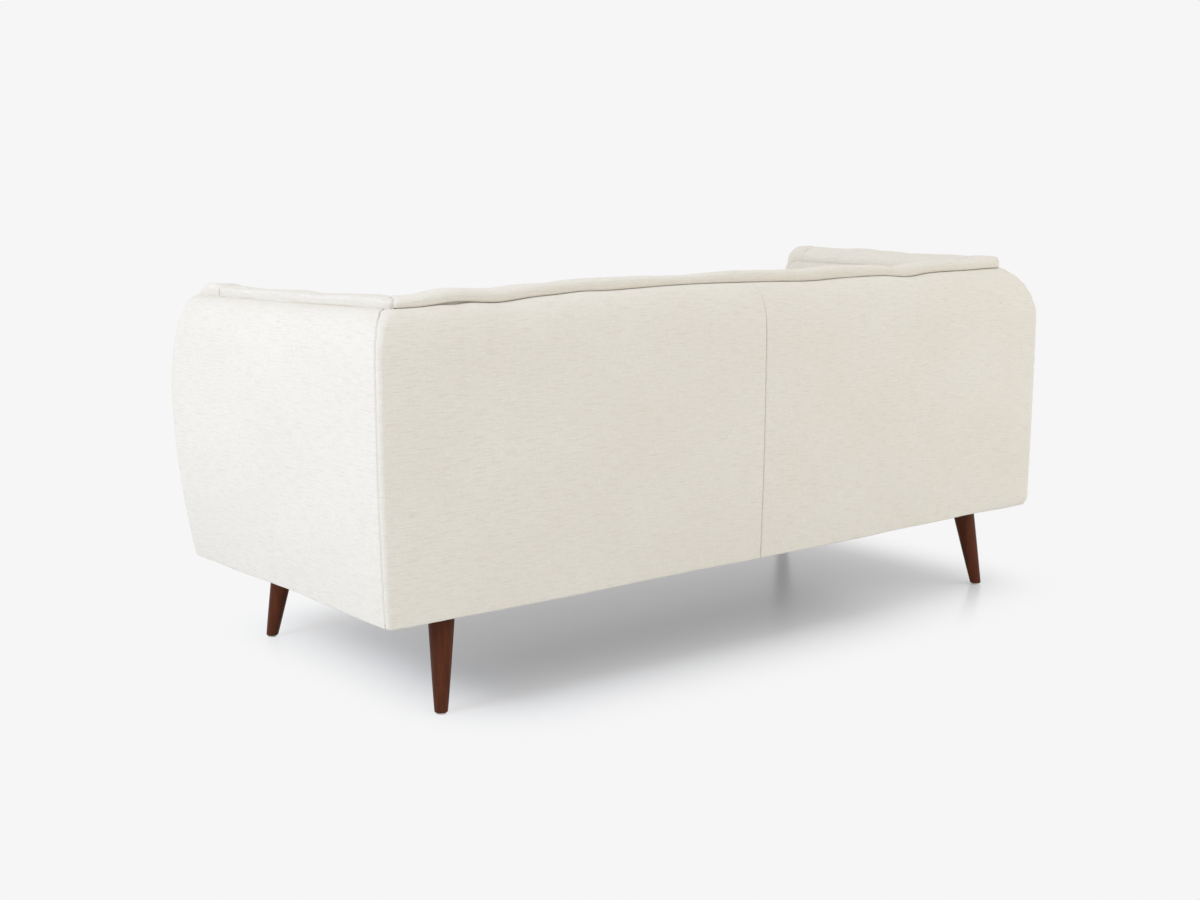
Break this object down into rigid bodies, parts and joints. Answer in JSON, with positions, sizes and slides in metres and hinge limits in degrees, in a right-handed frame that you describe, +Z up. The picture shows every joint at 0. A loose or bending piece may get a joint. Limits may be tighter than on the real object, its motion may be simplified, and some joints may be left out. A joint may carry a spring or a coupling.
{
  "type": "sofa",
  "caption": "Upholstered sofa with a padded rolled-rim shell, high arms level with the back, loose boxed seat cushions and splayed tapered wooden legs",
  "frame": {"origin": "on the floor under the middle of the overall length and depth", "axes": "+Z up; +X along the sofa's length, towards the arm on the right when seen from the front; -Y is the way the seat faces, +Y the way the back faces"},
  "size_m": [2.0248, 0.8878, 0.8392],
  "materials": {
    "ivory_fabric": "slubbed linen-like weave over wadding, ivory",
    "hardwood": "sawn frame timber, unfinished",
    "walnut": "turned and satin lacquered, red-brown",
    "steel": "plain spring steel and zinc-plated fixings",
    "nylon": "moulded glides",
    "dust_cloth": "thin non-woven cloth, near black",
    "jute": "woven webbing"
  },
  "bodies": {
    "sofa": {"outside_back_left": "ivory_fabric", "outside_back_right": "ivory_fabric", "outside_arm_left": "ivory_fabric", "outside_arm_right": "ivory_fabric", "inside_back_pad": "ivory_fabric", "inside_arm_pad_left": "ivory_fabric", "inside_arm_pad_right": "ivory_fabric", "arm_front_pad_left": "ivory_fabric", "arm_front_pad_right": "ivory_fabric", "front_rail_cover": "ivory_fabric", "seat_rail_front": "hardwood", "seat_rail_back": "hardwood", "seat_rail_left": "hardwood", "seat_rail_right": "hardwood", "seat_stretcher": "hardwood", "corner_block_front_left": "hardwood", "corner_block_front_right": "hardwood", "corner_block_rear_left": "hardwood", "corner_block_rear_right": "hardwood", "corner_post_left": "hardwood", "corner_post_right": "hardwood", "arm_front_post_left": "hardwood", "arm_front_post_right": "hardwood", "arm_rim_rail_left": "hardwood", "arm_rim_rail_right": "hardwood", "back_rim_rail": "hardwood", "back_centre_post": "hardwood", "back_tack_rail": "hardwood", "leg_front_left": "walnut", "leg_front_right": "walnut", "leg_rear_left": "walnut", "leg_rear_right": "walnut", "leg_nut_front_left": "steel", "leg_nut_front_right": "steel", "leg_nut_rear_left": "steel", "leg_nut_rear_right": "steel", "leg_bolt_front_left": "steel", "leg_bolt_front_right": "steel", "leg_bolt_rear_left": "steel", "leg_bolt_rear_right": "steel", "seat_spring_1": "steel", "seat_spring_2": "steel", "seat_spring_3": "steel", "seat_spring_4": "steel", "seat_spring_5": "steel", "seat_spring_6": "steel", "seat_spring_7": "steel", "seat_spring_8": "steel", "spring_clip_strip_front": "steel", "spring_clip_strip_rear": "steel", "glide_front_left": "nylon", "glide_front_right": "nylon", "glide_rear_left": "nylon", "glide_rear_right": "nylon", "dust_cover": "dust_cloth", "seat_deck_cloth": "dust_cloth", "back_webbing_left": "jute", "back_webbing_right": "jute"},
    "left_cushion": {"seat_cushion_left": "ivory_fabric"},
    "right_cushion": {"seat_cushion_right": "ivory_fabric"}
  },
  "joints": [
    {"name": "left_cushion_lift", "type": "slide", "parent": "sofa", "child": "left_cushion", "axis": [0, 0, 1], "range_m": [0, 0.6]},
    {"name": "right_cushion_lift", "type": "slide", "parent": "sofa", "child": "right_cushion", "axis": [0, 0, 1], "range_m": [0, 0.6]}
  ]
}
